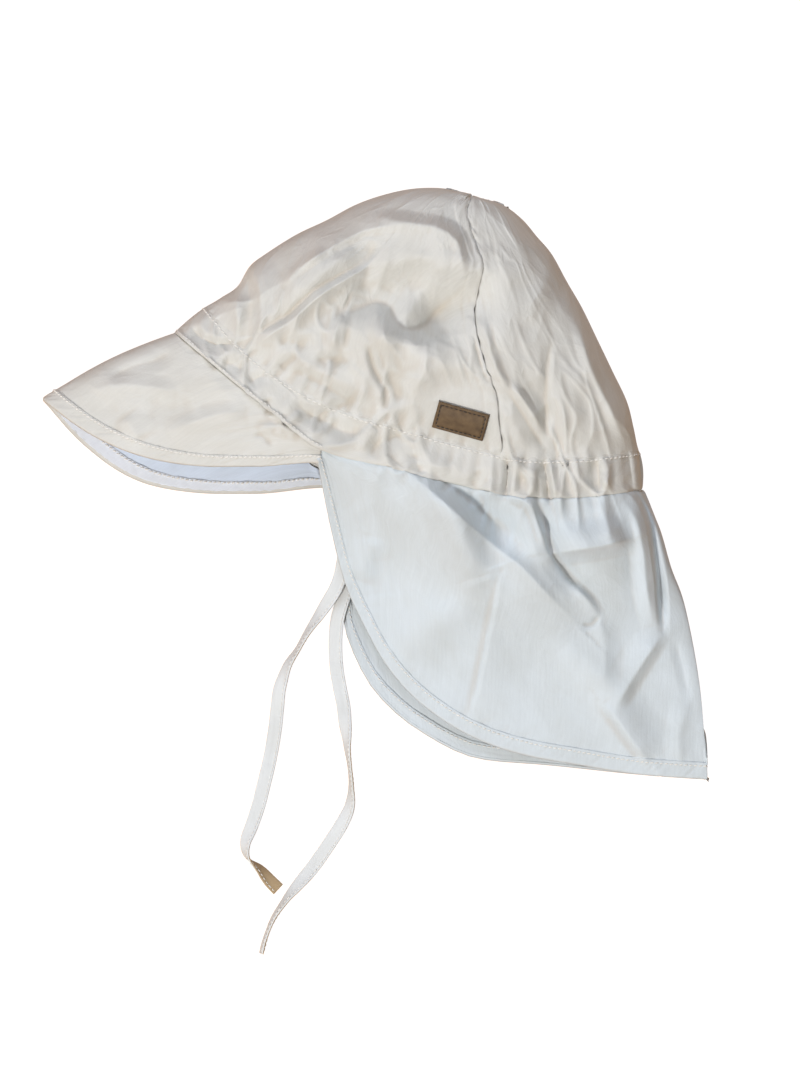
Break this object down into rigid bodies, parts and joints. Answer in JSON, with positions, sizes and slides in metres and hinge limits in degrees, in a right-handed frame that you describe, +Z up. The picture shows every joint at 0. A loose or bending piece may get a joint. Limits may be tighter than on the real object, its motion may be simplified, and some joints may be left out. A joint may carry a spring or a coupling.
{
  "type": "legionnaire cap",
  "caption": "Child's white cotton legionnaire cap with a stiffened peak, a casing gathered at the back, a long neck flap and chin ties, lying folded on its side.",
  "frame": {"origin": "on the surface that the cap lies on, under the middle of its length and width without the ties", "axes": "+X from the peak's tip to the lower back corner of the neck flap, +Y from the flap to the top of the crown, +Z up from the surface, out of the cap's left side"},
  "size_m": [0.2978, 0.3438, 0.0569],
  "materials": {
    "cotton": "soft woven cotton, matt with a faint sheen",
    "leather": "smooth vegetable-tanned leather, satin"
  },
  "bodies": {
    "root": {"crown_front_left": "cotton", "crown_back_left": "cotton", "crown_back_right": "cotton", "crown_front_right": "cotton", "casing": "cotton", "peak": "cotton", "neck_flap": "cotton", "peak_binding": "cotton", "flap_binding": "cotton", "patch": "leather", "tie_left": "cotton", "tie_right": "cotton"}
  },
  "joints": []
}
